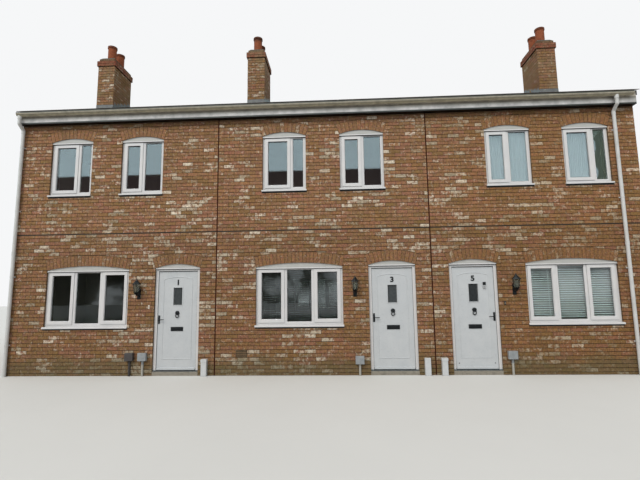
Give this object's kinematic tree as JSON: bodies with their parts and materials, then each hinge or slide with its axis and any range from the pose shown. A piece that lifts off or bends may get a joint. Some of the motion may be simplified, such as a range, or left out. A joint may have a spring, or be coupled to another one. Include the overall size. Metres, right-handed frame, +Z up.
{
  "type": "terraced house row",
  "caption": "Brick terraced house row with arched window and door heads, hinged front doors, tiled roof, gutters and chimney stacks.",
  "frame": {"origin": "at ground level on the front wall's face, in the middle of the middle house", "axes": "+Z up, the front faces -Y, +X to the right seen from the front"},
  "size_m": [13.03, 7.804, 8.7],
  "materials": {
    "brick": "wire-cut facing brick in mixed reds, browns and buff, with weathered mortar",
    "inner_brick": "common brick and block, as laid",
    "concrete": "floated concrete",
    "timber_floor": "sawn softwood boards",
    "plaster": "painted plaster",
    "roof_tile": "interlocking concrete tile, weathered dark brown",
    "ridge_tile": "half-round ridge tile",
    "white_plastic": "white extruded plastic, slightly weathered",
    "cream_panel": "painted board",
    "gutter_plastic": "grey-brown plastic, weathered",
    "lead": "dull sheet lead",
    "mortar": "trowelled mortar",
    "pot_clay": "fired clay",
    "sealant": "dark red-brown filler",
    "glazing": "sealed double glazing",
    "door_white": "moulded white door skin",
    "threshold_metal": "brushed",
    "black_iron": "black painted",
    "box_grey": "grey moulded plastic",
    "blind_white": "painted aluminium slats"
  },
  "bodies": {
    "root": {"front_wall_1_bay": "brick", "front_wall_3_bay": "brick", "front_wall_5_bay": "brick", "front_door_piers": "brick", "front_door_heads": "brick", "front_wall_1_upper": "brick", "front_wall_3_upper": "brick", "front_wall_5_upper": "brick", "rear_wall_ground": "brick", "rear_wall_upper": "brick", "left_end_wall": "brick", "right_end_wall": "brick", "party_walls": "inner_brick", "movement_joints": "sealant", "ground_floor": "concrete", "first_floor": "timber_floor", "upper_ceiling": "plaster", "door_steps": "concrete", "roof_front": "roof_tile", "roof_rear": "roof_tile", "roof_ridge": "ridge_tile", "front_eaves_boards": "white_plastic", "rear_eaves_boards": "white_plastic", "front_gutter": "gutter_plastic", "rear_gutter": "gutter_plastic", "downpipes": "white_plastic", "chimney_stack_1": "brick", "chimney_stack_3": "brick", "chimney_stack_5": "brick", "chimney_pots": "pot_clay", "chimney_flaunchings": "mortar", "chimney_flashings": "lead", "front_window_frames": "white_plastic", "front_casements": "white_plastic", "front_glass": "glazing", "front_cills": "white_plastic", "front_head_panels": "cream_panel", "rear_window_frames": "white_plastic", "rear_casements": "white_plastic", "rear_glass": "glazing", "rear_cills": "white_plastic", "rear_head_panels": "cream_panel", "window_blinds": "blind_white", "door_frame_jambs": "white_plastic", "door_frame_heads": "white_plastic", "door_thresholds": "threshold_metal", "door_hinges": "black_iron", "wall_lanterns": "black_iron", "service_boxes": "box_grey", "pipe_stubs": "white_plastic"},
    "door_1": {"door_leaf_1": "door_white", "door_light_1": "glazing", "door_furniture_1": "black_iron"},
    "door_3": {"door_leaf_3": "door_white", "door_light_3": "glazing", "door_furniture_3": "black_iron"},
    "door_5": {"door_leaf_5": "door_white", "door_light_5": "glazing", "door_furniture_5": "black_iron"}
  },
  "joints": [
    {"name": "door_1_hinge", "type": "hinge", "parent": "root", "child": "door_1", "pos_m": [-2.573, 0.122, 0], "axis": [0, 0, -1], "range_deg": [0, 90]},
    {"name": "door_3_hinge", "type": "hinge", "parent": "root", "child": "door_3", "pos_m": [1.816, 0.122, 0], "axis": [0, 0, -1], "range_deg": [0, 90]},
    {"name": "door_5_hinge", "type": "hinge", "parent": "root", "child": "door_5", "pos_m": [2.573, 0.122, 0], "axis": [0, 0, 1], "range_deg": [0, 90]}
  ]
}
